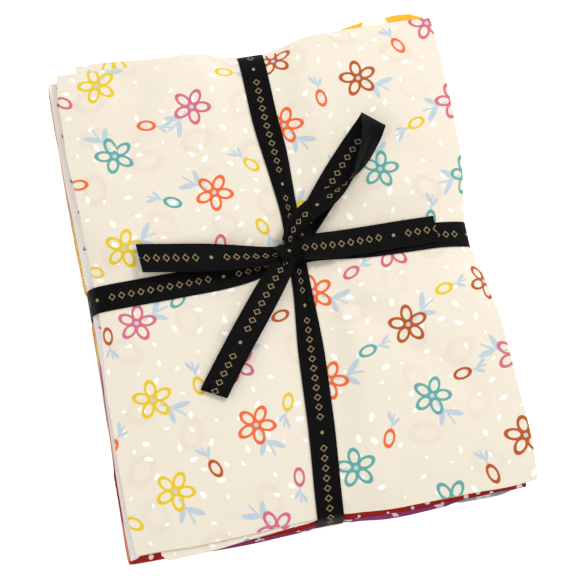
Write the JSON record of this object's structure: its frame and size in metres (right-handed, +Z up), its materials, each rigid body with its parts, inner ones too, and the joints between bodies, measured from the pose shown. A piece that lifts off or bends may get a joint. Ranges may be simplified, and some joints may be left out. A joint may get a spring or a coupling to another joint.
{
  "type": "fat quarter bundle",
  "caption": "Stack of folded quilting cottons, tied lengthwise and crosswise with one flat black ribbon in a bow.",
  "frame": {"origin": "under the middle of the whole bundle, on the surface that it lies on", "axes": "+X across the folded width, towards the side of the last folds; +Y along the folded length; +Z up, the bow on top"},
  "size_m": [0.2355, 0.2918, 0.0671],
  "materials": {
    "cream_print_cotton": "matt plain-weave cotton, printed",
    "marigold_cotton": "matt plain-weave cotton, printed",
    "light_grey_cotton": "matt plain-weave cotton, dotted",
    "red_cotton": "matt plain-weave cotton, spotted",
    "plum_cotton": "matt plain-weave cotton, spotted",
    "blue_grey_cotton": "matt plain-weave cotton, printed",
    "yellow_cotton": "matt plain-weave cotton",
    "mauve_cotton": "matt plain-weave cotton, printed",
    "teal_cotton": "matt plain-weave cotton",
    "salmon_cotton": "matt plain-weave cotton",
    "pink_cotton": "matt plain-weave cotton, striped",
    "rust_cotton": "matt plain-weave cotton",
    "ivory_cotton": "matt plain-weave cotton, dotted",
    "orange_cotton": "matt plain-weave cotton",
    "slate_cotton": "matt plain-weave cotton, dotted",
    "rose_cotton": "matt plain-weave cotton",
    "mint_cotton": "matt plain-weave cotton, checked",
    "dark_red_cotton": "matt plain-weave cotton",
    "black_ribbon": "fine ribbed ribbon with a dull gold ornament"
  },
  "bodies": {
    "root": {"fat_quarter_01_cream": "cream_print_cotton", "fat_quarter_02_marigold": "marigold_cotton", "fat_quarter_03_light_grey": "light_grey_cotton", "fat_quarter_04_red": "red_cotton", "fat_quarter_05_plum": "plum_cotton", "fat_quarter_06_blue_grey": "blue_grey_cotton", "fat_quarter_07_yellow": "yellow_cotton", "fat_quarter_08_mauve": "mauve_cotton", "fat_quarter_09_teal": "teal_cotton", "fat_quarter_10_salmon": "salmon_cotton", "fat_quarter_11_pink": "pink_cotton", "fat_quarter_12_rust": "rust_cotton", "fat_quarter_13_ivory": "ivory_cotton", "fat_quarter_14_orange": "orange_cotton", "fat_quarter_15_slate": "slate_cotton", "fat_quarter_16_rose": "rose_cotton", "fat_quarter_17_mint": "mint_cotton", "fat_quarter_18_dark_red": "dark_red_cotton", "ribbon_long_band": "black_ribbon", "ribbon_cross_band": "black_ribbon", "ribbon_knot": "black_ribbon", "ribbon_left_tail": "black_ribbon", "ribbon_right_tail": "black_ribbon", "ribbon_left_loop": "black_ribbon", "ribbon_right_loop": "black_ribbon"}
  },
  "joints": []
}
